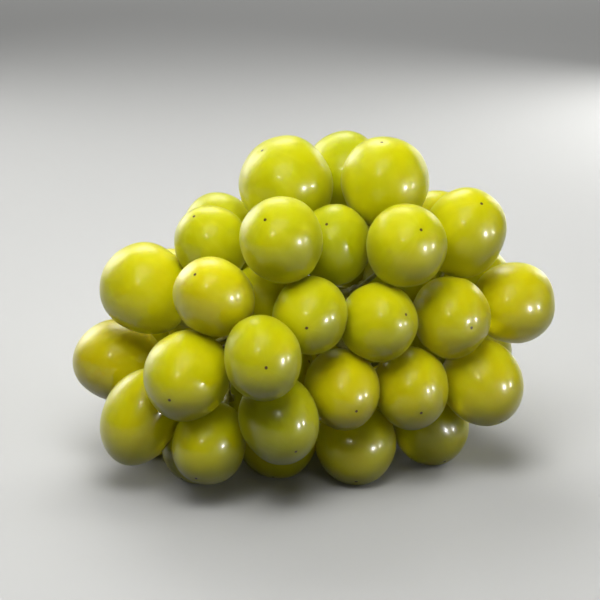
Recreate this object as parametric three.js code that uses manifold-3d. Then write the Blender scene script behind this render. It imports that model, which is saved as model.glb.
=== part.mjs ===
// A bunch of large green table grapes lying on its side, as picked, in millimetres.
// +Z is up, +X runs across the bunch, the tip end of the bunch faces -Y and the cut stem points to +Y.
// Every berry is one solid. The stem is one grown piece: stalk, side shoots and a short stalklet to each berry.

import * as THREE from "three";
import { ConvexGeometry } from "three/addons/geometries/ConvexGeometry.js";
import { mergeVertices } from "three/addons/utils/BufferGeometryUtils.js";
import Module from "manifold-3d";

// ---- Driving dimensions ----

const GAP = 0.3; // air between two neighbouring solids
const PRESS = 0.9; // how far two soft berries may press into each other where they touch
const FOOT_PRESS = 0.5; // how far a berry flattens on the surface it rests on
const STEM_END_CUT = 0.7; // depth of the small flat that a berry's stalklet sits on
const BERRY_DETAIL = 2; // subdivision of the icosahedron that a berry's points come from
const SETTLE_ROUNDS = 600; // passes of the loop that lets the berries find their places
const PULL_HOME = 0.012; // share of the way back to its chosen place that a berry goes in each pass
const HOMING_SHARE = 0.8; // share of the passes in which that pull acts; the rest only push berries apart
const SAME_POINT = 1e-3; // corners nearer than this are one corner

const STALK_R = 3.1; // main stalk behind the bunch
const STALK_TIP_R = 1.7; // main stalk at its last fork
const CUT_END_R = 4.2; // the swollen, woody cut end
const CUT_END_SHOULDER_R = 3.95; // the swelling where it starts to narrow
const CUT_END_LENGTH = 7; // how far the swelling reaches before it starts to narrow
const CUT_END_FADE = 1.6; // where the swelling has narrowed to the stalk, in lengths of it
const SHOOT_R = [2, 1.5]; // a side shoot where it leaves the stalk, and at its fork
const FORK_R = 2.2; // knuckle where a side shoot divides
const STALKLET_R = 0.9; // the short stalk of each berry
const SEAT_R = 2.4; // what a stalklet widens into where its berry sits on it
const SEAT_LENGTH = 3.2; // how far down the stalklet the widening reaches
const SEAT_SHOULDER = 0.4; // where it is half as wide again, as a share of that
const SWING = 0.4; // how far a stem keeps its first direction, as a share of its way
const CLEAR = 0.8; // air kept between a stem and a berry that it passes
const BENDS = 6; // points of a stem that are free to bend round berries
const TIDY = 0.03; // small facets of the stem closer than this to flat are merged
const STALK_SIDES = 9;
const SHOOT_SIDES = 7;
const STALKLET_SIDES = 5;

// The main stalk, from its cut end behind the bunch to its last fork near the front.
const STALK = [
  [8, 86, 72],
  [6, 70, 67],
  [4, 52, 62],
  [2, 34, 59],
  [0, 14, 58],
  [-1, -4, 57],
  [-2, -16, 56],
];

// ---- The berries, in the side shoots that carry them ----
// at: the middle of the berry. size: width across, height and length, the length running from stem end to tip.
// tip: the way that its tip points; a berry with none points away from its fork.

const SHOOTS = [
  {
    name: "crown",
    leaves: 0.55,
    fork: [6, 14, 79],
    berries: [
      { at: [-8, 4, 105], size: [33, 33, 35], tip: [-5, -3, 8] },
      { at: [25, -1, 107], size: [31, 31, 33], tip: [-1, -3, 10] },
      { at: [14, 27, 102], size: [28, 28, 30], tip: [0, 4, 9] },
      { at: [7, -14, 88], size: [26, 28, 31], tip: [-2, -7, 7] },
      { at: [-13, 32, 88], size: [27, 27, 29] },
      { at: [27, 37, 91], size: [27, 27, 29] },
      { at: [12, 30, 73], size: [26, 26, 28] },
    ],
  },
  {
    name: "upper_left",
    leaves: 0.7,
    fork: [-19, 3, 74],
    berries: [
      { at: [-11, -37, 96], size: [28, 29, 32], tip: [-4, -7, 6] },
      { at: [-36, -9, 87], size: [26, 26, 28], tip: [-4, -4, 8] },
      { at: [-34, 17, 84], size: [27, 27, 29], tip: [-4, 3, 8] },
      { at: [-34, -38, 76], size: [28, 26, 31], tip: [-5, -7, 6] },
      { at: [-18, -18, 69], size: [25, 25, 26], tip: [-3, -9, 4] },
    ],
  },
  {
    name: "upper_right",
    leaves: 0.7,
    fork: [15, 4, 66],
    berries: [
      { at: [31, -26, 90], size: [27, 29, 32], tip: [3, -8, 6] },
      { at: [53, -1, 89], size: [29, 30, 35], tip: [3, -6, 8] },
      { at: [45, 26, 82], size: [26, 26, 28], tip: [3, 4, 8] },
      { at: [48, -15, 62], size: [27, 29, 31], tip: [4, -9, 0] },
      { at: [40, 47, 66], size: [28, 28, 30] },
      { at: [31, 8, 70], size: [25, 25, 27] },
    ],
  },
  {
    name: "left_shoulder",
    leaves: 0.62,
    fork: [-27, 4, 52],
    berries: [
      { at: [-59, -8, 70], size: [31, 32, 34], tip: [-7, 1, 6] },
      { at: [-71, 3, 40], size: [30, 29, 33], tip: [-9, 1, -1] },
      { at: [-51, 32, 59], size: [27, 27, 29] },
      { at: [-65, 32, 34], size: [27, 27, 29] },
      { at: [-41, 10, 55], size: [26, 26, 28] },
      { at: [-61, -24, 28], size: [27, 27, 36], tip: [-4, -1, -9] },
    ],
  },
  {
    name: "right_shoulder",
    leaves: 0.62,
    fork: [30, 9, 53],
    berries: [
      { at: [72, 5, 61], size: [29, 30, 30], tip: [8, 4, 1] },
      { at: [60, -9, 36], size: [29, 30, 32], tip: [5, -8, -4] },
      { at: [57, 29, 64], size: [27, 27, 29] },
      { at: [58, 33, 34], size: [27, 27, 29] },
      { at: [48, 14, 44], size: [26, 26, 28] },
    ],
  },
  {
    name: "front",
    leaves: 1,
    fork: [-4, -18, 56],
    berries: [
      { at: [-17, -56, 61], size: [26, 29, 30], tip: [1, -10, 1] },
      { at: [-2, -37, 69], size: [26, 27, 29], tip: [-1, -10, 0] },
      { at: [22, -28, 64], size: [26, 28, 30], tip: [6, -7, 4] },
      { at: [-11, -41, 34], size: [27, 30, 33], tip: [3, -9, -4] },
      { at: [9, -30, 41], size: [26, 28, 31], tip: [3, -9, -2] },
    ],
  },
  {
    name: "lower_left",
    leaves: 0.8,
    fork: [-31, -6, 37],
    berries: [
      { at: [-43, -42, 48], size: [29, 31, 34], tip: [-3, -9, -2] },
      { at: [-37, -35, 24], size: [25, 28, 30], tip: [-3, -7, -6] },
      { at: [-41, -14, 12], size: [26, 26, 28], tip: [-4, -5, -7] },
      { at: [-13, -7, 15], size: [30, 30, 32], tip: [-1, -5, -8] },
      { at: [-59, 14, 13], size: [27, 27, 28] },
      { at: [-31, 20, 13], size: [27, 27, 29] },
      { at: [-14, -12, 42], size: [26, 26, 28] },
    ],
  },
  {
    name: "lower_right",
    leaves: 0.8,
    fork: [18, 6, 36],
    berries: [
      { at: [34, -21, 38], size: [26, 29, 31], tip: [2, -9, -3] },
      { at: [15, -14, 14], size: [29, 29, 30], tip: [0, -7, -7] },
      { at: [43, 5, 14], size: [28, 27, 29], tip: [3, -5, -7] },
      { at: [1, 20, 13], size: [28, 28, 29] },
      { at: [29, 31, 13], size: [28, 28, 29] },
      { at: [5, 22, 40], size: [26, 26, 28] },
    ],
  },
  {
    name: "back_left",
    leaves: 0.4,
    fork: [-17, 36, 47],
    berries: [
      { at: [-43, 44, 13], size: [28, 28, 30] },
      { at: [-14, 48, 13], size: [28, 28, 30] },
      { at: [-40, 53, 42], size: [29, 29, 31] },
      { at: [-11, 61, 40], size: [28, 28, 30] },
      { at: [-21, 54, 70], size: [28, 28, 30] },
      { at: [-25, 31, 60], size: [26, 26, 28] },
    ],
  },
  {
    name: "back_right",
    leaves: 0.4,
    fork: [12, 42, 54],
    berries: [
      { at: [16, 58, 13], size: [28, 28, 30] },
      { at: [46, 48, 24], size: [28, 28, 30] },
      { at: [20, 62, 43], size: [29, 29, 31] },
      { at: [46, 52, 47], size: [27, 27, 29] },
      { at: [8, 56, 83], size: [28, 28, 30] },
      { at: [28, 34, 49], size: [26, 26, 28] },
    ],
  },
];

// ---- Berries ----

const UP = new THREE.Vector3(0, 0, 1);

/** One berry: a three-axis ellipsoid with its own frame, side, rise and tip. */
class Berry {
  constructor(name, shoot, { at, size, tip }) {
    this.name = name;
    this.shoot = shoot;
    this.home = new THREE.Vector3(...at);
    this.at = this.home.clone();
    this.half = size.map((s) => s / 2);
    this.limits = []; // flats: { normal, reach }
    this.aim(tip ? new THREE.Vector3(...tip) : this.home.clone().sub(new THREE.Vector3(...shoot.fork)));
  }

  /** Turns the berry so that its tip points along a direction. */
  aim(direction) {
    this.tip = direction.clone().normalize();
    this.side = new THREE.Vector3().crossVectors(this.tip, UP).normalize();
    this.rise = new THREE.Vector3().crossVectors(this.side, this.tip);
  }

  /** How far the ellipsoid reaches along a unit direction, measured to its tangent plane. */
  reach(n) {
    const [w, h, l] = this.half;
    return Math.hypot(w * n.dot(this.side), h * n.dot(this.rise), l * n.dot(this.tip));
  }

  /** Distance from the middle to the surface along a unit direction, flats included. */
  radius(n) {
    const [w, h, l] = this.half;
    let r = 1 / Math.hypot(n.dot(this.side) / w, n.dot(this.rise) / h, n.dot(this.tip) / l);
    for (const { normal, reach } of this.limits) {
      const toward = n.dot(normal);
      if (toward > 0) r = Math.min(r, reach / toward);
    }
    return r;
  }

  /** A point on the berry's axis, a distance out from the small flat at its stem end. */
  beyondStemEnd(distance) {
    return this.at.clone().addScaledVector(this.tip, STEM_END_CUT - this.half[2] - distance);
  }
}

const berries = SHOOTS.flatMap((shoot) =>
  shoot.berries.map((berry, i) => new Berry(`${shoot.name}_berry_${i + 1}`, shoot, berry)),
);

/** Calls visit(a, b, unit vector from a to b, distance) for each pair of berries. */
function eachPair(visit) {
  const n = new THREE.Vector3();
  for (let i = 0; i < berries.length; i++) {
    for (let j = i + 1; j < berries.length; j++) {
      n.subVectors(berries[j].at, berries[i].at);
      const distance = n.length();
      visit(berries[i], berries[j], n.divideScalar(distance), distance);
    }
  }
}

/** Moves a point of a stem's centreline away from every berry that it is too near. */
function keepClear(point, radius) {
  const out = new THREE.Vector3();
  for (const berry of berries) {
    out.subVectors(point, berry.at);
    const distance = out.length();
    const need = berry.reach(out.divideScalar(distance)) + radius + CLEAR;
    if (distance < need) point.addScaledVector(out, need - distance);
  }
}

/** Lets the berries settle: neighbours push apart, the surface holds them up, and each keeps near its own place. */
function settle() {
  const down = UP.clone().negate();
  for (let round = 0; round < SETTLE_ROUNDS; round++) {
    const home = round < SETTLE_ROUNDS * HOMING_SHARE ? PULL_HOME : 0;
    for (const berry of berries) berry.at.lerp(berry.home, home);
    eachPair((a, b, n, distance) => {
      const over = a.reach(n) + b.reach(n) - PRESS - distance;
      if (over <= 0) return;
      a.at.addScaledVector(n, -over / 2);
      b.at.addScaledVector(n, over / 2);
    });
    for (const berry of berries) {
      berry.at.z = Math.max(berry.at.z, berry.reach(down) - FOOT_PRESS);
      const neck = berry.beyondStemEnd(SEAT_LENGTH);
      keepClear(neck, STALKLET_R);
      berry.aim(berry.at.clone().sub(neck));
    }
  }
}

/** Finds the flats: where neighbours press on each other, where a berry rests, and where its stalklet sits. */
function findFlats() {
  const down = UP.clone().negate();
  eachPair((a, b, n, distance) => {
    const over = a.reach(n) + b.reach(n) + GAP - distance;
    if (over <= 0) return;
    a.limits.push({ normal: n.clone(), reach: a.reach(n) - over / 2 });
    b.limits.push({ normal: n.clone().negate(), reach: b.reach(n) - over / 2 });
  });
  for (const berry of berries) {
    berry.limits.push({ normal: berry.tip.clone().negate(), reach: berry.half[2] - STEM_END_CUT });
    if (berry.reach(down) > berry.at.z) {
      berry.foot = berry.reach(down) - berry.at.z;
      berry.limits.push({ normal: down, reach: berry.at.z });
    }
  }
}

/** The unit directions of an icosahedron's points, with one point on +Z. */
function directions() {
  const ball = new THREE.IcosahedronGeometry(1, BERRY_DETAIL);
  const corner = new THREE.Vector3().fromBufferAttribute(ball.getAttribute("position"), 0);
  ball.applyQuaternion(new THREE.Quaternion().setFromUnitVectors(corner.normalize(), UP));
  ball.deleteAttribute("normal");
  ball.deleteAttribute("uv");
  const points = mergeVertices(ball, SAME_POINT).getAttribute("position");
  return Array.from({ length: points.count }, (_, i) =>
    new THREE.Vector3().fromBufferAttribute(points, i).normalize(),
  );
}

const DIRECTIONS = directions();

/** A berry's solid about its own middle: the hull of its surface points, grown by a margin. */
function berryGeometry(berry, margin = 0) {
  const frame = new THREE.Matrix4().makeBasis(berry.side, berry.rise, berry.tip);
  const points = DIRECTIONS.map((d) => {
    const n = d.clone().transformDirection(frame);
    return n.multiplyScalar(berry.radius(n) + margin);
  });
  if (berry.foot && !margin) points.push(...footRing(berry));
  return new ConvexGeometry(points);
}

/** Points round the flat that a berry rests on, just inside its edge. */
function footRing(berry) {
  const corners = 8;
  const inside = 0.85;
  const smallest = Math.min(...berry.half);
  const r = inside * Math.sqrt(2 * smallest * berry.foot);
  const lean = footCentre(berry);
  return Array.from({ length: corners }, (_, i) => {
    const turn = (2 * Math.PI * i) / corners;
    return new THREE.Vector3(lean.x + r * Math.cos(turn), lean.y + r * Math.sin(turn), -berry.at.z);
  });
}

/** Where a tilted berry touches the surface, from its middle. */
function footCentre(berry) {
  const down = UP.clone().negate();
  const [w, h, l] = berry.half;
  return new THREE.Vector3()
    .addScaledVector(berry.side, w * w * down.dot(berry.side))
    .addScaledVector(berry.rise, h * h * down.dot(berry.rise))
    .addScaledVector(berry.tip, l * l * down.dot(berry.tip))
    .divideScalar(berry.reach(down));
}

// ---- The stem ----

const wasm = await Module();
wasm.setup();

/** A closed geometry as a manifold-3d solid. */
function solidOf(geometry) {
  const bare = geometry.clone();
  bare.deleteAttribute("normal");
  bare.deleteAttribute("uv");
  const merged = mergeVertices(bare, SAME_POINT);
  return new wasm.Manifold(
    new wasm.Mesh({
      numProp: 3,
      vertProperties: new Float32Array(merged.getAttribute("position").array),
      triVerts: new Uint32Array(merged.index.array),
    }),
  );
}

/** A manifold-3d solid as a three.js geometry. */
function geometryOf(solid) {
  const mesh = solid.getMesh();
  return new THREE.BufferGeometry()
    .setAttribute("position", new THREE.BufferAttribute(new Float32Array(mesh.vertProperties), 3))
    .setIndex(new THREE.BufferAttribute(new Uint32Array(mesh.triVerts), 1));
}

/** A closed round stem along points, with a radius at each: rings of corners joined by triangles. */
function taperedStem(points, radii, sides) {
  const curve = new THREE.CatmullRomCurve3(points);
  const last = points.length - 1;
  const { normals, binormals } = curve.computeFrenetFrames(last);
  const positions = [];
  const index = [];
  points.forEach((point, ring) => {
    for (let i = 0; i < sides; i++) {
      const turn = (2 * Math.PI * i) / sides;
      const corner = point
        .clone()
        .addScaledVector(normals[ring], radii[ring] * Math.cos(turn))
        .addScaledVector(binormals[ring], radii[ring] * Math.sin(turn));
      positions.push(...corner.toArray());
    }
  });
  for (let ring = 0; ring < last; ring++) {
    for (let i = 0; i < sides; i++) {
      const a = ring * sides + i;
      const b = ring * sides + ((i + 1) % sides);
      index.push(a, b, b + sides, a, b + sides, a + sides);
    }
  }
  for (let i = 1; i + 1 < sides; i++) {
    index.push(0, i + 1, i);
    index.push(last * sides, last * sides + i, last * sides + i + 1);
  }
  return new THREE.BufferGeometry()
    .setAttribute("position", new THREE.Float32BufferAttribute(positions, 3))
    .setIndex(index);
}

/** A knuckle where stems meet. */
function knuckle(at, radius) {
  return new THREE.IcosahedronGeometry(radius, 1).translate(at.x, at.y, at.z);
}

/** Points from start to end that leave start along a direction and bend round the berries on the way. */
function bentRoute(start, leaving, end, radius) {
  const rounds = 200;
  const ease = 0.2;
  const handle = start.clone().addScaledVector(leaving, SWING * start.distanceTo(end));
  const route = new THREE.QuadraticBezierCurve3(start, handle, end).getPoints(BENDS + 1);
  for (let round = 0; round < rounds; round++) {
    for (let i = 1; i <= BENDS; i++) {
      const middle = route[i - 1].clone().add(route[i + 1]).multiplyScalar(0.5);
      route[i].lerp(middle, ease);
      keepClear(route[i], radius);
    }
  }
  return route;
}

/** The stalklet of one berry, from the seat that the berry sits on to the fork. */
function stalklet(berry, fork) {
  const outward = berry.tip.clone().negate();
  const face = berry.beyondStemEnd(GAP);
  const shoulder = berry.beyondStemEnd(GAP + SEAT_LENGTH * SEAT_SHOULDER);
  const neck = berry.beyondStemEnd(GAP + SEAT_LENGTH);
  const route = [face, shoulder, ...bentRoute(neck, outward, fork, STALKLET_R)];
  const radii = route.map(() => STALKLET_R);
  radii[0] = SEAT_R;
  radii[1] = (SEAT_R + STALKLET_R) / 2;
  return taperedStem(route, radii, STALKLET_SIDES);
}

/** A side shoot, from the main stalk to its fork. */
function sideShoot(leaves, along, fork) {
  const route = bentRoute(leaves, along, fork, SHOOT_R[0]);
  const radii = route.map((_, i) => THREE.MathUtils.lerp(...SHOOT_R, i / (route.length - 1)));
  return taperedStem(route, radii, SHOOT_SIDES);
}

/** The main stalk, thinner towards the tip of the bunch, and its swollen cut end. */
function mainStalk() {
  const points = STALK.map((p) => new THREE.Vector3(...p));
  const along = points[1].clone().sub(points[0]).normalize();
  const collar = points[0].clone().addScaledVector(along, CUT_END_LENGTH);
  const waist = points[0].clone().addScaledVector(along, CUT_END_LENGTH * CUT_END_FADE);
  const line = [points[0], collar, waist, ...points.slice(1)];
  const radii = line.map((_, i) => THREE.MathUtils.lerp(STALK_R, STALK_TIP_R, i / (line.length - 1)));
  radii[0] = CUT_END_R;
  radii[1] = CUT_END_SHOULDER_R;
  return taperedStem(line, radii, STALK_SIDES);
}

/** Everything that grew as one: the stalk, the side shoots and the stalklets, clear of every berry. */
function stemGeometry() {
  const line = new THREE.CatmullRomCurve3(STALK.map((p) => new THREE.Vector3(...p)));
  const pieces = [mainStalk()];
  for (const shoot of SHOOTS) {
    const fork = new THREE.Vector3(...shoot.fork);
    keepClear(fork, FORK_R);
    const leaves = line.getPointAt(shoot.leaves);
    if (leaves.distanceTo(fork) > FORK_R) {
      pieces.push(sideShoot(leaves, line.getTangentAt(shoot.leaves), fork));
    }
    pieces.push(knuckle(fork, FORK_R));
    for (const berry of berries.filter((b) => b.shoot === shoot)) pieces.push(stalklet(berry, fork));
  }
  const grown = wasm.Manifold.union(pieces.map(solidOf));
  const room = wasm.Manifold.union(berries.map((b) => solidOf(berryGeometry(b, GAP).translate(...b.at))));
  // Only the outsides are kept, so that no air stays sealed in where stems cross.
  const outsides = grown.subtract(room).decompose().filter((shell) => shell.volume() > 0);
  return geometryOf(wasm.Manifold.union(outsides).simplify(TIDY));
}

// ---- The bunch ----

settle();
findFlats();

const berrySkin = new THREE.MeshStandardMaterial({ color: 0xb4b81c, roughness: 0.3, metalness: 0 });
const stemBark = new THREE.MeshStandardMaterial({ color: 0xa9a35c, roughness: 0.7, metalness: 0 });

const bunch = new THREE.Group();

for (const berry of berries) {
  const mesh = new THREE.Mesh(berryGeometry(berry), berrySkin);
  mesh.name = berry.name;
  mesh.position.copy(berry.at);
  bunch.add(mesh);
}

const stem = new THREE.Mesh(stemGeometry(), stemBark);
stem.name = "stem";
bunch.add(stem);

// The origin goes to the middle of the bunch's box, on the surface that it rests on.
const box = new THREE.Box3().setFromObject(bunch, true);
const middle = box.getCenter(new THREE.Vector3());
bunch.position.set(-middle.x, -middle.y, -box.min.z);

export default bunch;
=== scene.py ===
"""A bunch of large green table grapes, lying on its side as picked.

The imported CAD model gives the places: each berry's faceted solid is swollen back into a smooth, soft
berry that presses on its neighbours, and the stem's solid is grown over with smooth green bark.
Lengths are in metres, and MM turns millimetres into metres.
"""

from __future__ import annotations

import itertools
import logging
import math
from dataclasses import dataclass, field
from enum import Enum
from typing import ClassVar

import bpy
import numpy as np
from mathutils import Matrix, Vector, noise

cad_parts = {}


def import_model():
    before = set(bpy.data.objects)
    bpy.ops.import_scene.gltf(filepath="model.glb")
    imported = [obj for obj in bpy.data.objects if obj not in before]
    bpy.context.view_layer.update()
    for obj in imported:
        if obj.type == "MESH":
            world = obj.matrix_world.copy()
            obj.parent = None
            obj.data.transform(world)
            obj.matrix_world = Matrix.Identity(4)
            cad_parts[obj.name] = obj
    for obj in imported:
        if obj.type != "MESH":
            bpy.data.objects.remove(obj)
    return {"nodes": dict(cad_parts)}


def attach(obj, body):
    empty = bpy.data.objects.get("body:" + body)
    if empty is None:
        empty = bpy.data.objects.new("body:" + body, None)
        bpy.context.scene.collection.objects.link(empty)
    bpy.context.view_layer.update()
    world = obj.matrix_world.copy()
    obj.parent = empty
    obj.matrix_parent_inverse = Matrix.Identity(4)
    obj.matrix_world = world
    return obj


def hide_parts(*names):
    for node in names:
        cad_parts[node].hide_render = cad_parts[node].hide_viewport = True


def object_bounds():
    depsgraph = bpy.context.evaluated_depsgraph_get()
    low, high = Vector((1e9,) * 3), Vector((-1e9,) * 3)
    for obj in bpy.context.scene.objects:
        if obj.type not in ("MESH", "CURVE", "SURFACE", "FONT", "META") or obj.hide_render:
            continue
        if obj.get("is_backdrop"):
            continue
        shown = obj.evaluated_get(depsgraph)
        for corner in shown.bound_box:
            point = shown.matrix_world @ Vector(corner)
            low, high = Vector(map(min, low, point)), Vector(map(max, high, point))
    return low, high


LOG = logging.getLogger("grapes")
MM = 0.001
BODY = "root"
STEM_NODE = "stem"
DOWN = np.array((0.0, 0.0, -1.0))
NO_BERRYS_AXIS = np.array((0.3, 0.1, 1.0))  # a leaning direction that no berry's tip points along

Colour = tuple[float, float, float]


class Slot(Enum):
    """The record's material slots."""

    SKIN = "berry_skin"
    BARK = "stem_bark"


class Mark(Enum):
    """The names of the values that a mesh carries at each point for its material to read."""

    SCAR = "scar"
    SEAT = "seat"
    # How ripe each berry is, with painted shade added: more amber on low and side berries.
    RIPE_AND_SHADE = "ripe_and_shade"
    GRAIN = "grain"
    WOOD = "wood"
    PITH = "pith"


# ---------------------------------------------------------------- materials


class Graph:
    """A material's node tree, with one short method for each kind of node that the finishes use."""

    def __init__(self, name: str) -> None:
        """Starts an empty material.

        Args:
            name: The material's name.
        """
        self.material = bpy.data.materials.new(name)
        self.material.use_nodes = True
        self.tree = self.material.node_tree
        self.shader = self.tree.nodes["Principled BSDF"]

    def node(self, kind: str, settings: dict | None = None, inputs: dict | None = None) -> bpy.types.Node:
        """Adds one node.

        Args:
            kind: The node's type name.
            settings: Properties to set on the node.
            inputs: Values or sockets for its inputs, by name or number.

        Returns:
            The new node.
        """
        made = self.tree.nodes.new(kind)
        for key, value in (settings or {}).items():
            setattr(made, key, value)
        for key, value in (inputs or {}).items():
            self.feed(made.inputs[key], value)
        return made

    def feed(self, socket: bpy.types.NodeSocket, value: object) -> None:
        """Links an output to a socket, or sets the socket's own value.

        Args:
            socket: The input to feed.
            value: An output socket, a number or a tuple.
        """
        if isinstance(value, bpy.types.NodeSocket):
            self.tree.links.new(value, socket)
        elif isinstance(value, tuple) and len(value) == 3 and socket.type == "RGBA":
            socket.default_value = (*value, 1.0)
        else:
            socket.default_value = value

    def place(self) -> bpy.types.NodeSocket:
        """Returns the place on the bunch, in metres."""
        return self.node("ShaderNodeTexCoord").outputs["Object"]

    def mark(self, mark: Mark) -> bpy.types.NodeSocket:
        """Returns a number that the mesh carries."""
        return self.node("ShaderNodeAttribute", {"attribute_name": mark.value}).outputs["Fac"]

    def mark_vector(self, mark: Mark) -> bpy.types.NodeSocket:
        """Returns a vector that the mesh carries."""
        return self.node("ShaderNodeAttribute", {"attribute_name": mark.value}).outputs["Vector"]

    def cloud(self, where: bpy.types.NodeSocket, scale: float, detail: float = 2.0) -> bpy.types.NodeSocket:
        """Returns soft noise from 0 to 1.

        Args:
            where: The vector that the noise is read at.
            scale: Features in one unit of that vector.
            detail: Octaves of finer noise.
        """
        made = self.node("ShaderNodeTexNoise", None, {"Vector": where, "Scale": scale, "Detail": detail})
        return made.outputs["Fac"]

    def specks(self, where: bpy.types.NodeSocket, scale: float) -> bpy.types.NodeSocket:
        """Returns the distance to the nearest of many scattered points, in cells."""
        made = self.node("ShaderNodeTexVoronoi", None, {"Vector": where, "Scale": scale})
        return made.outputs["Distance"]

    def fit(self, value: bpy.types.NodeSocket, low: float, high: float, out_low: float = 0.0,
            out_high: float = 1.0) -> bpy.types.NodeSocket:
        """Stretches a value from one range to another and holds it inside it.

        Args:
            value: The value to stretch.
            low: Where the result is out_low.
            high: Where the result is out_high.
            out_low: The result at low.
            out_high: The result at high.

        Returns:
            The stretched value.
        """
        settings = {"interpolation_type": "SMOOTHSTEP"}
        made = self.node("ShaderNodeMapRange", settings,
                         {"Value": value, "From Min": low, "From Max": high,
                          "To Min": out_low, "To Max": out_high})
        return made.outputs["Result"]

    def math(self, operation: str, a: object, b: object) -> bpy.types.NodeSocket:
        """Returns the result of a sum on two values."""
        return self.node("ShaderNodeMath", {"operation": operation}, {0: a, 1: b}).outputs["Value"]

    def mix(self, share: object, a: object, b: object) -> bpy.types.NodeSocket:
        """Blends two colours.

        Args:
            share: How much of b, from 0 to 1.
            a: The first colour.
            b: The second colour.

        Returns:
            The blend.
        """
        made = self.node("ShaderNodeMix", {"data_type": "RGBA"})
        self.feed(made.inputs["Factor"], share)
        self.feed(made.inputs[6], a)
        self.feed(made.inputs[7], b)
        return made.outputs[2]

    def bump(self, height: bpy.types.NodeSocket, strength: float, depth: float,
             under: bpy.types.NodeSocket | None = None) -> bpy.types.NodeSocket:
        """Tilts a surface normal by a height.

        Args:
            height: The height, from 0 to 1.
            strength: How strongly it tilts the surface.
            depth: What a height of 1 is, in metres.
            under: A normal to tilt further.

        Returns:
            The tilted normal.
        """
        inputs = {"Height": height, "Strength": strength, "Distance": depth}
        if under is not None:
            inputs["Normal"] = under
        return self.node("ShaderNodeBump", None, inputs).outputs["Normal"]

    def finish(self, **sockets: object) -> bpy.types.Material:
        """Feeds the shader's sockets, with underscores for the spaces in their names.

        Args:
            **sockets: A value or an output for each socket.

        Returns:
            The finished material.
        """
        for key, value in sockets.items():
            self.feed(self.shader.inputs[key.replace("_", " ")], value)
        return self.material


@dataclass(frozen=True)
class BerrySkin:
    """Thin yellow-green skin over clear flesh, with a dusty wax bloom and a dry brown scar at the tip.

    Attributes:
        green: The least ripe skin.
        yellow: Ripe skin.
        amber: The ripest skin, also laid on low and side berries as painted shade.
        pale: Streaks, dots and bloom.
        scar: The dry scar at the tip.
        sheen: The colour of the bloom seen edge on.
        glow: How far red, green and blue light travel in the flesh, as shares of glow_depth.
        glow_depth: How far light travels in the flesh.
        gloss: The roughness of clean skin.
        bloom_gloss: The roughness of skin under bloom.
        scar_gloss: The roughness of the scar.
        patches: Soft patches of ripeness in a metre.
        bloom_patches: Patches of bloom in a metre.
        dents: Soft dents in a metre.
        mottles: Mottles in a metre.
        dots: Pale dots in a metre.
        pores: Pores in a metre.
        streaks: Streaks round the berry, in one unit of the grain that its mesh carries.
    """

    green: Colour = (0.37, 0.40, 0.002)
    yellow: Colour = (0.60, 0.56, 0.001)
    amber: Colour = (0.56, 0.45, 0.002)
    pale: Colour = (0.70, 0.70, 0.035)
    scar: Colour = (0.060, 0.026, 0.006)
    sheen: Colour = (0.85, 1.0, 0.35)
    glow: tuple[float, float, float] = (1.0, 0.85, 0.05)
    glow_depth: float = 9.0 * MM
    gloss: float = 0.29
    bloom_gloss: float = 0.40
    scar_gloss: float = 0.8
    patches: float = 55.0
    bloom_patches: float = 120.0
    dents: float = 180.0
    mottles: float = 260.0
    dots: float = 700.0
    pores: float = 1500.0
    streaks: float = 3.0

    def material(self) -> bpy.types.Material:
        """Makes the skin.

        Returns:
            The finished material.
        """
        g = Graph("berry_skin")
        where = g.place()
        bloom = g.fit(g.cloud(where, self.bloom_patches, 6.0), 0.45, 0.75)
        colour = self.weathered(g, bloom, self.ripened_and_shaded(g))
        rough = g.fit(bloom, 0.0, 1.0, self.gloss, self.bloom_gloss)
        rough = g.math("MAXIMUM", rough, g.math("MULTIPLY", g.mark(Mark.SCAR), self.scar_gloss))
        normal = g.bump(g.cloud(where, self.pores, 3.0), 0.10, 0.05 * MM)
        normal = g.bump(g.cloud(where, self.dents, 2.0), 0.25, 0.25 * MM, normal)
        return g.finish(Base_Color=colour, Roughness=rough, Normal=normal, IOR=1.38,
                        Subsurface_Weight=0.8, Transmission_Weight=0.20, Subsurface_Radius=self.glow,
                        Subsurface_Scale=self.glow_depth, Coat_Weight=0.30, Coat_Roughness=0.13,
                        Sheen_Weight=0.10, Sheen_Roughness=0.35, Sheen_Tint=self.sheen)

    def ripened_and_shaded(self, g: Graph) -> bpy.types.NodeSocket:
        """Colours clean skin, from green through yellow to amber, with painted shade: more amber on berries
        low down and at the sides.

        Args:
            g: The material's nodes.

        Returns:
            The colour of clean skin.
        """
        patches = g.cloud(g.place(), self.patches)
        # The mark carries each berry's ripeness and its painted shade, which makes low and side berries
        # more amber.
        ripeness_and_shade = g.math("ADD", g.mark(Mark.RIPE_AND_SHADE), g.math("MULTIPLY", patches, 0.5))
        colour = g.mix(g.fit(ripeness_and_shade, 0.25, 1.05), self.green, self.yellow)
        return g.mix(g.fit(ripeness_and_shade, 0.80, 1.35, 0.0, 0.85), colour, self.amber)

    def weathered(self, g: Graph, bloom: bpy.types.NodeSocket,
                  colour: bpy.types.NodeSocket) -> bpy.types.NodeSocket:
        """Adds streaks, mottles, dots, bloom and the berry's two ends to clean skin.

        Args:
            g: The material's nodes.
            bloom: How thick the bloom is, from 0 to 1.
            colour: The colour of clean skin, with its painted shade.

        Returns:
            The skin's colour.
        """
        streaks = g.cloud(g.mark_vector(Mark.GRAIN), self.streaks)
        mottles = g.cloud(g.place(), self.mottles, 5.0)
        dots = g.fit(g.specks(g.place(), self.dots), 0.16, 0.05)
        colour = g.mix(g.fit(streaks, 0.45, 0.75, 0.0, 0.14), colour, self.pale)
        colour = g.mix(g.fit(mottles, 0.35, 0.7, 0.10, 0.0), colour, self.green)
        colour = g.mix(g.math("MULTIPLY", dots, 0.14), colour, self.pale)
        colour = g.mix(g.math("MULTIPLY", bloom, 0.10), colour, self.pale)
        colour = g.mix(g.math("MULTIPLY", g.mark(Mark.SEAT), 0.45), colour, self.green)
        return g.mix(g.mark(Mark.SCAR), colour, self.scar)


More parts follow.
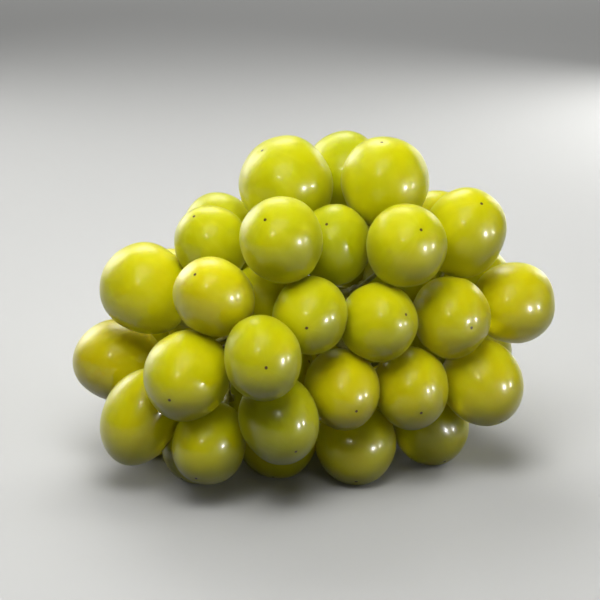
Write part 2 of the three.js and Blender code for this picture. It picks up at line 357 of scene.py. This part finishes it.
@dataclass(frozen=True)
class StemBark:
    """Pale green bark with brown warts, woody towards the cut end, with pith in the cut.

    Attributes:
        green: Fresh bark.
        olive: Darker patches in it.
        wood: Warts, and the woody end.
        pith: The middle of the cut.
        glow: How far red, green and blue light travel in the bark, as shares of glow_depth.
        glow_depth: How far light travels in the bark.
        mottles: Mottles in a metre.
        warts: Warts in a metre.
        fibres: Fibres in a metre.
    """

    green: Colour = (0.46, 0.45, 0.13)
    olive: Colour = (0.30, 0.28, 0.075)
    wood: Colour = (0.16, 0.085, 0.035)
    pith: Colour = (0.56, 0.50, 0.24)
    glow: tuple[float, float, float] = (1.0, 0.9, 0.3)
    glow_depth: float = 0.8 * MM
    mottles: float = 240.0
    warts: float = 620.0
    fibres: float = 1400.0

    def material(self) -> bpy.types.Material:
        """Makes the bark.

        Returns:
            The finished material.
        """
        g = Graph("stem_bark")
        where = g.place()
        mottle = g.cloud(where, self.mottles, 6.0)
        warts = g.fit(g.specks(where, self.warts), 0.24, 0.10)
        fibre = g.cloud(where, self.fibres, 4.0)
        colour = g.mix(g.fit(mottle, 0.35, 0.65), self.olive, self.green)
        colour = g.mix(g.math("MULTIPLY", warts, 0.5), colour, self.wood)
        wood = g.math("MULTIPLY", g.mark(Mark.WOOD), g.fit(mottle, 0.2, 0.6, 0.55, 1.0))
        colour = g.mix(wood, colour, self.wood)
        colour = g.mix(g.mark(Mark.PITH), colour, self.pith)
        normal = g.bump(fibre, 0.4, 0.12 * MM)
        normal = g.bump(warts, 0.6, 0.15 * MM, normal)
        return g.finish(Base_Color=colour, Roughness=g.fit(mottle, 0.3, 0.7, 0.5, 0.72), Normal=normal,
                        Subsurface_Weight=0.12, Subsurface_Radius=self.glow,
                        Subsurface_Scale=self.glow_depth)


@dataclass(frozen=True)
class TableTop:
    """A plain pale surface with no shine.

    Attributes:
        colour: Its colour.
        roughness: Its roughness.
    """

    colour: Colour = (0.39, 0.39, 0.38)
    roughness: float = 0.6

    def material(self) -> bpy.types.Material:
        """Returns the finished material."""
        return Graph("table_top").finish(Base_Color=self.colour, Roughness=self.roughness,
                                         Specular_IOR_Level=0.0)


# ---------------------------------------------------------------- meshes


def mesh_points(mesh: bpy.types.Mesh) -> np.ndarray:
    """Reads where a mesh's points are.

    Args:
        mesh: The mesh to read.

    Returns:
        The points, as rows of x, y and z.
    """
    flat = np.zeros(len(mesh.vertices) * 3)
    mesh.vertices.foreach_get("co", flat)
    return flat.reshape(-1, 3)


def mesh_normals(mesh: bpy.types.Mesh) -> np.ndarray:
    """Reads which way a mesh faces at its points.

    Args:
        mesh: The mesh to read.

    Returns:
        The directions, as rows of x, y and z.
    """
    flat = np.zeros(len(mesh.vertices) * 3)
    mesh.vertex_normals.foreach_get("vector", flat)
    return flat.reshape(-1, 3)


def add_mark(mesh: bpy.types.Mesh, mark: Mark, values: np.ndarray) -> None:
    """Stores a value at each point of a mesh.

    Args:
        mesh: The mesh that carries it.
        mark: The value's name.
        values: One number, or one row of three, for each point.
    """
    vector = values.ndim == 2
    layer = mesh.attributes.new(mark.value, "FLOAT_VECTOR" if vector else "FLOAT", "POINT")
    layer.data.foreach_set("vector" if vector else "value", values.astype(np.float32).ravel())


def unit(v: np.ndarray) -> np.ndarray:
    """Returns a vector or rows of vectors at length 1."""
    return v / np.linalg.norm(v, axis=-1, keepdims=True)


def soft_step(x: np.ndarray) -> np.ndarray:
    """Returns a smooth rise from 0 to 1 as x goes from 0 to 1."""
    t = np.clip(x, 0.0, 1.0)
    return t * t * (3.0 - 2.0 * t)


@dataclass(frozen=True)
class Egg:
    """A three-axis ellipsoid.

    Attributes:
        centre: Its middle.
        shape: The matrix that turns a unit ball into it, about its middle.
        limits: How far off the last fit a corner may be to count in the next, fit by fit.
    """

    centre: np.ndarray
    shape: np.ndarray
    limits: ClassVar[tuple[float, ...]] = (0.08, 0.04, 0.02, 0.01, 0.004, 0.002, 0.001, 0.0005, 0.0005)

    @classmethod
    def round(cls, points: np.ndarray) -> Egg:
        """Finds the ellipsoid that a faceted berry was cut from, leaving out the points on its flats.

        Args:
            points: The solid's corners.

        Returns:
            The ellipsoid.
        """
        start = points.mean(0)
        spread = np.abs(points - start).max()
        p = (points - start) / spread
        x, y, z = p.T
        terms = np.stack([x * x, y * y, z * z, 2 * x * y, 2 * x * z, 2 * y * z, x, y, z], axis=1)
        kept = np.ones(len(p), bool)
        for limit in cls.limits:
            fit = np.linalg.lstsq(terms[kept], np.ones(kept.sum()), rcond=None)[0]
            off = np.abs(terms @ fit - 1.0)
            kept = off < limit
            if kept.sum() < 2 * terms.shape[1]:
                kept = np.argsort(off) < 3 * terms.shape[1]
        a, b, c, d, e, f = fit[:6]
        form = np.array([[a, d, e], [d, b, f], [e, f, c]])
        middle = -0.5 * np.linalg.solve(form, fit[6:])
        form = form / (1.0 + middle @ form @ middle)
        sizes, axes = np.linalg.eigh(form)
        shape = axes @ np.diag(spread / np.sqrt(sizes)) @ axes.T
        return cls(start + middle * spread, shape)

    def depth(self, points: np.ndarray) -> np.ndarray:
        """Returns how far out points are: below 1 inside, 1 on the surface."""
        return np.linalg.norm((points - self.centre) @ np.linalg.inv(self.shape), axis=1)

    def reach(self, direction: np.ndarray) -> float:
        """Returns how far the ellipsoid reaches along a unit direction."""
        return float(np.linalg.norm(self.shape @ direction))


@dataclass
class Berry:
    """One berry: a smooth ovoid with soft flats, a scar at its tip and a shallow seat at its stem end.

    Attributes:
        name: The CAD node that it stands for.
        egg: Its round shape.
        tip: The direction that its tip points.
        ripe_and_shade: How yellow it is, from about 0 for green to about 1 for amber, with painted shade
            added on low and side berries.
        taper: How much wider it is towards the tip than an even oval, as a share of its width.
        flats: The planes that hold it in, each a direction and a reach from the middle.
        segments: Points round each ring of its mesh.
        rings: Rings of its mesh between the two ends.
        pole_pull: How strongly the rings close up towards the ends.
        softness: How gently the skin turns into a flat.
        lump_size: The size of its slow lumps.
        lump_height: The height of its slow lumps.
        scar_r: The radius of the scar.
        scar_edge: The width over which the scar fades out.
        scar_dimple: The depth of the dimple round the scar.
        scar_dimple_r: The radius of the dimple round the scar.
        bead_share: The radius of the bead in the dimple, as a share of the scar's.
        bead_rise: The height of the bead, as a share of the dimple's depth.
        ragged_size: The size of the waves in the scar's edge.
        ragged_width: The width of the waves in the scar's edge.
        seat_r: The radius of the stalklet's seat.
        seat_dimple: The depth of the seat.
        streak_stretch: How long a streak is drawn, as the share of the grain that runs along it.
        streak_shift: How far ripeness moves the grain, so that no two berries share their streaks.
    """

    name: str
    egg: Egg
    tip: np.ndarray
    ripe_and_shade: float
    taper: float
    flats: list[tuple[np.ndarray, float]] = field(default_factory=list)

    segments: int = 60
    rings: int = 52
    pole_pull: float = 0.24
    softness: float = 0.35 * MM
    lump_size: float = 13.0 * MM
    lump_height: float = 0.60 * MM
    scar_r: float = 0.42 * MM
    scar_edge: float = 0.22 * MM
    scar_dimple: float = 0.15 * MM
    scar_dimple_r: float = 1.5 * MM
    bead_share: float = 0.6
    bead_rise: float = 0.7
    ragged_size: float = 0.5 * MM
    ragged_width: float = 0.15 * MM
    seat_r: float = 2.6 * MM
    seat_dimple: float = 0.35 * MM
    streak_stretch: float = 0.25
    streak_shift: float = 7.0

    def build(self) -> bpy.types.Object:
        """Builds the berry's mesh.

        Returns:
            The berry.
        """
        ball = self.ball()
        faces = self.faces()
        points = self.dimpled(self.lumpy(self.tapered(ball @ self.egg.shape.T)))
        points = self.pressed(points) + self.egg.centre
        mesh = bpy.data.meshes.new(self.name + "_skin")
        mesh.from_pydata(points.tolist(), [], faces)
        mesh.polygons.foreach_set("use_smooth", np.ones(len(faces), bool))
        self.add_marks(mesh, ball, points)
        berry = bpy.data.objects.new(self.name + "_skin", mesh)
        bpy.context.scene.collection.objects.link(berry)
        return berry

    def dress(self, berry: bpy.types.Object, skin: bpy.types.Material) -> None:
        """Gives the berry its skin and its place in the bunch.

        Args:
            berry: What build made.
            skin: The skin's material.
        """
        berry.data.materials.append(skin)
        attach(berry, BODY)
        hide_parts(self.name)

    def frame(self) -> np.ndarray:
        """Finds the ball's own axes.

        Returns:
            The axes as rows, the last one towards the tip.
        """
        pole = unit(np.linalg.solve(self.egg.shape, self.tip))
        across = unit(np.cross(pole, NO_BERRYS_AXIS))
        return np.stack([across, np.cross(pole, across), pole])

    def ball(self) -> np.ndarray:
        """Makes a unit ball with a pole at the tip and rings closer near both ends.

        Returns:
            The ball's points, along the bunch's axes.
        """
        step = np.linspace(-1.0, 1.0, self.rings + 2)[1:-1]
        lean = np.pi / 2 * (step + self.pole_pull * np.sin(np.pi * step))
        turn = 2 * np.pi * np.arange(self.segments) / self.segments
        ring = np.stack([np.cos(turn), np.sin(turn), np.zeros_like(turn)], axis=1)
        rows = [np.array([[0.0, 0.0, -1.0]])]
        rows += [ring * np.cos(a) + (0.0, 0.0, np.sin(a)) for a in lean]
        rows.append(np.array([[0.0, 0.0, 1.0]]))
        return np.concatenate(rows) @ self.frame()

    def faces(self) -> list[list[int]]:
        """Joins the ball's points by two fans and the bands between them.

        Returns:
            The faces, as lists of point numbers.
        """
        n = self.segments
        last = 1 + n * self.rings
        following = [(i + 1) % n for i in range(n)]
        faces = [[0, 1 + following[i], 1 + i] for i in range(n)]
        for row in range(self.rings - 1):
            a = 1 + row * n
            faces += [[a + i, a + following[i], a + n + following[i], a + n + i] for i in range(n)]
        a = last - n
        faces += [[a + i, a + following[i], last] for i in range(n)]
        return faces

    def tapered(self, points: np.ndarray) -> np.ndarray:
        """Draws points in towards the stem end and lets them out towards the tip.

        Args:
            points: Points about the berry's middle.

        Returns:
            The moved points.
        """
        along = points @ self.tip
        share = along / np.abs(along).max()
        across = points - along[:, None] * self.tip
        return points + across * (self.taper * share)[:, None]

    def lumpy(self, points: np.ndarray) -> np.ndarray:
        """Gives points the slow, low lumps of a grown thing.

        Args:
            points: Points about the berry's middle.

        Returns:
            The moved points.
        """
        out = unit(points)
        rise = [noise.noise(Vector(p + self.egg.centre) / self.lump_size) for p in points]
        return points + out * (np.array(rise)[:, None] * self.lump_height)

    def dimpled(self, points: np.ndarray) -> np.ndarray:
        """Sinks points a little round the scar and under the stalklet's seat.

        Args:
            points: Points about the berry's middle.

        Returns:
            The moved points.
        """
        off_axis = np.linalg.norm(np.cross(points, self.tip), axis=1)
        along = points @ self.tip
        scar = np.exp(-((off_axis / self.scar_dimple_r) ** 2)) * (along > 0)
        bead = np.exp(-((off_axis / (self.bead_share * self.scar_r)) ** 2)) * (along > 0)
        seat = np.exp(-((off_axis / self.seat_r) ** 2)) * (along < 0)
        sink = self.scar_dimple * (scar - self.bead_rise * bead) - self.seat_dimple * seat
        return points - sink[:, None] * self.tip

    def pressed(self, points: np.ndarray) -> np.ndarray:
        """Holds points softly behind each flat.

        Args:
            points: Points about the berry's middle.

        Returns:
            The moved points.
        """
        for normal, reach in self.flats:
            past = (points @ normal - reach) / self.softness
            points = points - np.logaddexp(0.0, past)[:, None] * self.softness * normal
        return points

    def add_marks(self, mesh: bpy.types.Mesh, ball: np.ndarray, points: np.ndarray) -> None:
        """Stores what the skin's material reads.

        Args:
            mesh: The berry's mesh.
            ball: The points of the unit ball.
            points: The berry's points.
        """
        own = ball @ self.frame().T
        off_axis = np.linalg.norm(np.cross(points - self.egg.centre, self.tip), axis=1)
        tipward = own[:, 2] > 0
        ragged = np.array([noise.noise(Vector(p) / self.ragged_size) for p in points]) * self.ragged_width
        scar = soft_step((self.scar_r + self.scar_edge + ragged - off_axis) / self.scar_edge) * tipward
        seat = soft_step((3 * self.seat_r - off_axis) / (2 * self.seat_r)) * ~tipward
        add_mark(mesh, Mark.SCAR, scar)
        add_mark(mesh, Mark.SEAT, seat)
        add_mark(mesh, Mark.RIPE_AND_SHADE, np.full(len(points), self.ripe_and_shade))
        add_mark(mesh, Mark.GRAIN, self.grain(own))

    def grain(self, own: np.ndarray) -> np.ndarray:
        """Finds the vectors that draw the streaks.

        Args:
            own: The points of the unit ball, along its own axes.

        Returns:
            Vectors that change fast round the berry and slowly along it.
        """
        tiny = 1e-9
        along = own[:, 2:] * self.streak_stretch + self.streak_shift * self.ripe_and_shade
        return np.concatenate([unit(own[:, :2] + tiny), along], axis=1)


@dataclass
class Stem:
    """The stem in one piece: stalk, side shoots and stalklets.

    Attributes:
        grain: The size of the mesh's faces.
        smoothing: How many times the mesh is smoothed.
        regrowth: How much thickness smoothing takes and roughening gives back, in sizes of a face.
        wood_length: How far the brown bark reaches from the cut end.
        cut_r: The radius of the pale pith in the cut.
        cut_depth: How far in from the end the cut face may lie.
        cut_facing: How squarely the cut face looks along the stalk, as a cosine.
        end_length: The length of stalk that shows which way it points.
        rough_size: The size of the bark's knobs.
        rough_height: The height of the bark's knobs.
    """

    grain: float = 0.42 * MM
    smoothing: int = 4
    regrowth: float = 0.3
    wood_length: float = 26.0 * MM
    cut_r: float = 1.7 * MM
    cut_depth: float = 3.0 * MM
    cut_facing: float = 0.8
    end_length: float = 5.0 * MM
    rough_size: float = 2.4 * MM
    rough_height: float = 0.16 * MM

    def build(self, solid: bpy.types.Object) -> bpy.types.Object:
        """Grows smooth bark over the stem's solid.

        Args:
            solid: The CAD node's object.

        Returns:
            The stem.
        """
        mesh = solid.data.copy()
        mesh.name = "stem_bark"
        mesh.materials.clear()
        stem = bpy.data.objects.new("stem_bark", mesh)
        bpy.context.scene.collection.objects.link(stem)
        remesh = stem.modifiers.new("even_faces", "REMESH")
        remesh.mode = "VOXEL"
        remesh.voxel_size = self.grain
        smooth = stem.modifiers.new("smooth", "SMOOTH")
        smooth.iterations = self.smoothing
        graph = bpy.context.evaluated_depsgraph_get()
        grown = bpy.data.meshes.new_from_object(stem.evaluated_get(graph))
        stem.modifiers.clear()
        stem.data = grown
        bpy.data.meshes.remove(mesh)
        self.roughen(grown)
        grown.polygons.foreach_set("use_smooth", np.ones(len(grown.polygons), bool))
        self.add_marks(grown)
        return stem

    def roughen(self, mesh: bpy.types.Mesh) -> None:
        """Raises low knobs in the bark, and makes good the thickness that smoothing took.

        Args:
            mesh: The stem's mesh.
        """
        points = mesh_points(mesh)
        rise = [noise.noise(Vector(p) / self.rough_size) for p in points]
        height = self.grain * self.regrowth + np.array(rise)[:, None] * self.rough_height
        mesh.vertices.foreach_set("co", (points + mesh_normals(mesh) * height).ravel())
        mesh.update()

    def add_marks(self, mesh: bpy.types.Mesh) -> None:
        """Stores where the bark is brown and where the cut shows its pith.

        Args:
            mesh: The stem's mesh.
        """
        points = mesh_points(mesh)
        middle, facing = self.cut_end(points)
        along = points @ facing
        from_cut = along.max() - along
        off_axis = np.linalg.norm(np.cross(points - middle, facing), axis=1)
        on_face = (from_cut < self.cut_depth) & (mesh_normals(mesh) @ facing > self.cut_facing)
        add_mark(mesh, Mark.WOOD, soft_step(1.0 - from_cut / self.wood_length))
        add_mark(mesh, Mark.PITH, soft_step(2.0 - off_axis / self.cut_r) * on_face)

    def cut_end(self, points: np.ndarray) -> tuple[np.ndarray, np.ndarray]:
        """Finds the cut end of the stalk, which reaches farthest back.

        Args:
            points: The stem's points.

        Returns:
            A place on the stalk's axis near the cut, and the direction that the cut faces.
        """
        from_back = points[:, 1].max() - points[:, 1]
        end = points[from_back < self.end_length].mean(0)
        neck = points[(from_back > self.end_length) & (from_back < 2 * self.end_length)].mean(0)
        return end, unit(end - neck)

    def dress(self, stem: bpy.types.Object, bark: bpy.types.Material) -> None:
        """Gives the stem its bark and its place in the bunch.

        Args:
            stem: What build made.
            bark: The bark's material.
        """
        stem.data.materials.append(bark)
        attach(stem, BODY)
        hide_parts(STEM_NODE)


@dataclass
class Bunch:
    """All the berries and the stem that holds them.

    Attributes:
        nodes: The CAD model's objects, by name.
        high: The CAD model's highest corner.
        kiss: The air left between two berries that touch.
        floor_gap: The air left under a berry that rests.
        taper: The usual taper of a berry.
        taper_spread: How much berries differ in taper.
        taper_size: The distance over which taper changes.
        least_ripe: The ripeness of a berry at the top, in the middle.
        side_shade_amber: How much more amber a berry at the side is made, as painted shade.
        low_shade_amber: How much more amber a berry low down is made, as painted shade.
        ripe_spread: How much berries differ in ripeness.
        ripe_size: The distance over which ripeness changes.
        berries: What grow makes.
    """

    nodes: dict[str, bpy.types.Object]
    high: Vector
    kiss: float = 0.03 * MM
    floor_gap: float = 0.04 * MM
    taper: float = 0.03
    taper_spread: float = 0.10
    taper_size: float = 7.0 * MM
    least_ripe: float = 0.33
    # Painted shade: extra amber for berries at the sides and low down.
    side_shade_amber: float = 0.26
    low_shade_amber: float = 0.30
    ripe_spread: float = 0.36
    ripe_size: float = 9.0 * MM
    berries: list[Berry] = field(default_factory=list)

    def grow(self) -> None:
        """Finds every berry's round shape and the way its tip points."""
        stem = mesh_points(self.nodes[STEM_NODE].data)
        for name in sorted(set(self.nodes) - {STEM_NODE}):
            egg = Egg.round(mesh_points(self.nodes[name].data))
            seat = stem[egg.depth(stem) < 1.0]
            tip = unit(egg.centre - seat.mean(0))
            chance = noise.noise(Vector(egg.centre) / self.taper_size)
            taper = self.taper + self.taper_spread * chance
            self.berries.append(Berry(name, egg, tip, self.ripeness_and_shade(egg.centre), taper))

    def ripeness_and_shade(self, centre: np.ndarray) -> float:
        """Finds how ripe a berry is, a little by chance, and adds painted shade: more amber at the sides
        and low down, where the bunch lies in shade.

        Args:
            centre: The berry's middle.

        Returns:
            The ripeness with its painted shade, mostly from 0 to 1.
        """
        chance = noise.noise(Vector(centre) / self.ripe_size)
        side = abs(centre[0]) / self.high.x
        depth = 1.0 - centre[2] / self.high.z
        # Painted shade: berries at the sides and low down are made more amber, as shaded skin looks.
        painted_shade_amber = self.side_shade_amber * side * side + self.low_shade_amber * depth
        return self.least_ripe + self.ripe_spread * chance + painted_shade_amber

    def press_together(self) -> None:
        """Gives a flat to berries that touch, or whose lumps might, and a foot to those that rest."""
        for a, b in itertools.combinations(self.berries, 2):
            between = b.egg.centre - a.egg.centre
            distance = float(np.linalg.norm(between))
            way = between / distance
            over = a.egg.reach(way) + b.egg.reach(way) + self.kiss - distance
            if over > -2 * a.lump_height:
                a.flats.append((way, a.egg.reach(way) - over / 2))
                b.flats.append((-way, b.egg.reach(way) - over / 2))
        for berry in self.berries:
            room = berry.egg.centre[2] - self.floor_gap
            if berry.egg.reach(DOWN) > room:
                berry.flats.append((DOWN, room))

    def build(self) -> None:
        """Builds and dresses the berries and the stem, and reports each."""
        skin = BerrySkin().material()
        self.grow()
        self.press_together()
        for berry in self.berries:
            made = berry.build()
            berry.dress(made, skin)
            LOG.info("%s: %d faces, %d flats", made.name, len(made.data.polygons), len(berry.flats))
        stem = Stem()
        made = stem.build(self.nodes[STEM_NODE])
        stem.dress(made, StemBark().material())
        LOG.info("%s: %d faces", made.name, len(made.data.polygons))


# ---------------------------------------------------------------- studio


@dataclass(frozen=True)
class Softbox:
    """A soft rectangular light that faces the bunch.

    Attributes:
        name: Its name.
        azimuth: Its bearing, in degrees, from the front towards +X.
        elevation: Its height, in degrees.
        distance: How far it is from the bunch.
        size: Its width and height.
        light: The power that lights matt and translucent surfaces, in watts.
        shine: The power that shows in glossy surfaces, in watts.
    """

    name: str
    azimuth: float
    elevation: float
    distance: float
    size: tuple[float, float]
    light: float
    shine: float

    def hang(self, aim: Vector) -> None:
        """Hangs the light so that it faces a point.

        Args:
            aim: The point.
        """
        if self.light > 0:
            self.hang_lamp(self.name, self.light, aim).visible_glossy = False
        if self.shine > 0:
            shine = self.hang_lamp(self.name + "_shine", self.shine, aim)
            shine.visible_diffuse = False
            shine.visible_transmission = False

    def hang_lamp(self, name: str, power: float, aim: Vector) -> bpy.types.Object:
        """Hangs one lamp.

        Args:
            name: The lamp's name.
            power: Its power, in watts.
            aim: The point that it faces.

        Returns:
            The lamp.
        """
        lamp = soft_lamp(name, self.size, power)
        lamp.matrix_world = looking_at(aim, self.azimuth, self.elevation, self.distance)
        return lamp


def soft_lamp(name: str, size: tuple[float, float], power: float) -> bpy.types.Object:
    """Makes a soft rectangular lamp that faces straight down.

    Args:
        name: The lamp's name.
        size: Its width and height.
        power: Its power, in watts.

    Returns:
        The lamp.
    """
    light = bpy.data.lights.new(name, "AREA")
    light.shape = "RECTANGLE"
    light.size, light.size_y = size
    light.energy = power
    lamp = bpy.data.objects.new(name, light)
    bpy.context.scene.collection.objects.link(lamp)
    return lamp


def looking_at(aim: Vector, azimuth: float, elevation: float, distance: float) -> Matrix:
    """Finds the place of something that looks at a point.

    Args:
        aim: The point.
        azimuth: The bearing to look from, in degrees, from the front towards +X.
        elevation: The height to look from, in degrees.
        distance: How far away it is.

    Returns:
        Its place and direction, as a matrix.
    """
    a, e = math.radians(azimuth), math.radians(elevation)
    back = Vector((math.sin(a) * math.cos(e), -math.cos(a) * math.cos(e), math.sin(e)))
    turn = back.to_track_quat("Z", "Y").to_matrix().to_4x4()
    return Matrix.Translation(aim + back * distance) @ turn


@dataclass
class Studio:
    """The pale table, the soft lights and the camera.

    Attributes:
        low: The bunch's lowest corner.
        high: The bunch's highest corner.
        table_size: The length of each side of the table.
        elevation: The camera's height, in degrees.
        distance: How far the camera is from the bunch.
        lens: The camera's focal length, in millimetres.
        sensor_width: The width of the camera's sensor, in millimetres.
        nearest: The nearest thing that the camera sees.
        aim_left: How far left of the bunch's middle the camera looks, as a share of its width.
        aim_front: How far in front of its middle, as a share of its depth.
        aim_height: How high, as a share of its height.
        background_light_at: The middle of the light over the table behind the bunch.
        background_light_size: Its width and depth.
        background_power: Its power, in watts.
        air: The colour of the room's own light.
        air_strength: The strength of the room's own light.
        softboxes: The lights round the bunch.
    """

    low: Vector
    high: Vector
    table_size: float = 6.0
    elevation: float = 17.0
    distance: float = 0.80
    lens: float = 134.4
    sensor_width: float = 36.0
    nearest: float = 0.01
    aim_left: float = 0.027
    aim_front: float = 0.06
    aim_height: float = 0.52
    background_light_at: tuple[float, float, float] = (0.0, 1.9, 0.7)
    background_light_size: tuple[float, float] = (2.4, 1.0)
    background_power: float = 24.0
    air: Colour = (0.75, 0.78, 0.82)
    air_strength: float = 0.02
    softboxes: tuple[Softbox, ...] = (
        Softbox("back_left_softbox", -136.0, 18.0, 0.75, (0.40, 0.46), 2.5, 10.0),
        Softbox("back_right_softbox", 148.0, 9.0, 0.75, (0.24, 0.30), 3.0, 4.2),
        Softbox("overhead_softbox", -172.0, 44.0, 0.75, (0.36, 0.26), 2.5, 3.0),
        Softbox("crown_back_softbox", -170.0, 58.0, 0.34, (0.24, 0.20), 0.66, 0.0),
        Softbox("crown_softbox", 4.0, 70.0, 0.34, (0.22, 0.18), 0.40, 0.0),
        Softbox("crown_front_softbox", -6.0, 52.0, 0.36, (0.20, 0.16), 0.82, 0.0),
        Softbox("key_softbox", -6.0, 50.0, 0.80, (0.50, 0.40), 2.2, 0.0),
        Softbox("left_softbox", -85.0, 25.0, 0.80, (0.40, 0.40), 1.0, 0.0),
        Softbox("right_softbox", 85.0, 20.0, 0.80, (0.40, 0.40), 1.7, 0.0),
        Softbox("low_softbox", 20.0, 10.0, 0.90, (0.60, 0.20), 0.9, 0.0),
        Softbox("front_lamp", -16.0, 30.0, 0.80, (0.08, 0.08), 0.0, 0.5),
        Softbox("right_lamp", 50.0, 1.5, 0.60, (0.050, 0.070), 0.0, 2.0),
        Softbox("far_right_lamp", 72.0, 1.5, 0.60, (0.030, 0.060), 0.0, 0.9),
    )

    def aim(self) -> Vector:
        """Finds what the camera and lights face, a little in front of the bunch's middle.

        Returns:
            The point.
        """
        middle = (self.low + self.high) / 2
        size = self.high - self.low
        left = middle.x - self.aim_left * size.x
        front = middle.y - self.aim_front * size.y
        return Vector((left, front, self.low.z + self.aim_height * size.z))

    def build(self) -> None:
        """Sets up the table, the lights and the camera."""
        self.lay_table()
        for softbox in self.softboxes:
            softbox.hang(self.aim())
        self.light_background()
        self.fill_air()
        self.place_camera()

    def lay_table(self) -> None:
        """Lays the plain pale table top under the bunch. It throws no light back onto the berries."""
        half = self.table_size / 2
        corners = [(-half, -half, 0), (half, -half, 0), (half, half, 0), (-half, half, 0)]
        mesh = bpy.data.meshes.new("table_top")
        mesh.from_pydata(corners, [], [(0, 1, 2, 3)])
        mesh.materials.append(TableTop().material())
        table = bpy.data.objects.new("table_top", mesh)
        table.location.z = self.low.z
        table.visible_diffuse = False
        bpy.context.scene.collection.objects.link(table)
        table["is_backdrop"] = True

    def light_background(self) -> None:
        """Hangs a wide light over the table behind the bunch, facing straight down."""
        lamp = soft_lamp("background_light", self.background_light_size, self.background_power)
        lamp.location = self.background_light_at
        lamp.visible_glossy = False

    def fill_air(self) -> None:
        """Fills the room with a dim, even light."""
        world = bpy.data.worlds.new("room")
        world.use_nodes = True
        background = world.node_tree.nodes["Background"]
        background.inputs["Color"].default_value = (*self.air, 1.0)
        background.inputs["Strength"].default_value = self.air_strength
        bpy.context.scene.world = world
        bpy.context.scene.view_settings.view_transform = "Standard"

    def place_camera(self) -> None:
        """Places the camera in front of the bunch, looking down on it a little."""
        camera = bpy.data.cameras.new("camera")
        camera.lens = self.lens
        camera.sensor_width = self.sensor_width
        camera.clip_start = self.nearest
        eye = bpy.data.objects.new("camera", camera)
        eye.matrix_world = looking_at(self.aim(), 0.0, self.elevation, self.distance)
        bpy.context.scene.collection.objects.link(eye)
        bpy.context.scene.camera = eye


def main() -> None:
    """Builds the bunch round its CAD frame, and the studio round the bunch."""
    logging.basicConfig(level=logging.INFO, format="%(name)s: %(message)s")
    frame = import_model()
    cad_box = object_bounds()
    Bunch(frame["nodes"], cad_box[1]).build()
    Studio(*cad_box).build()


if __name__ == "__main__":
    main()
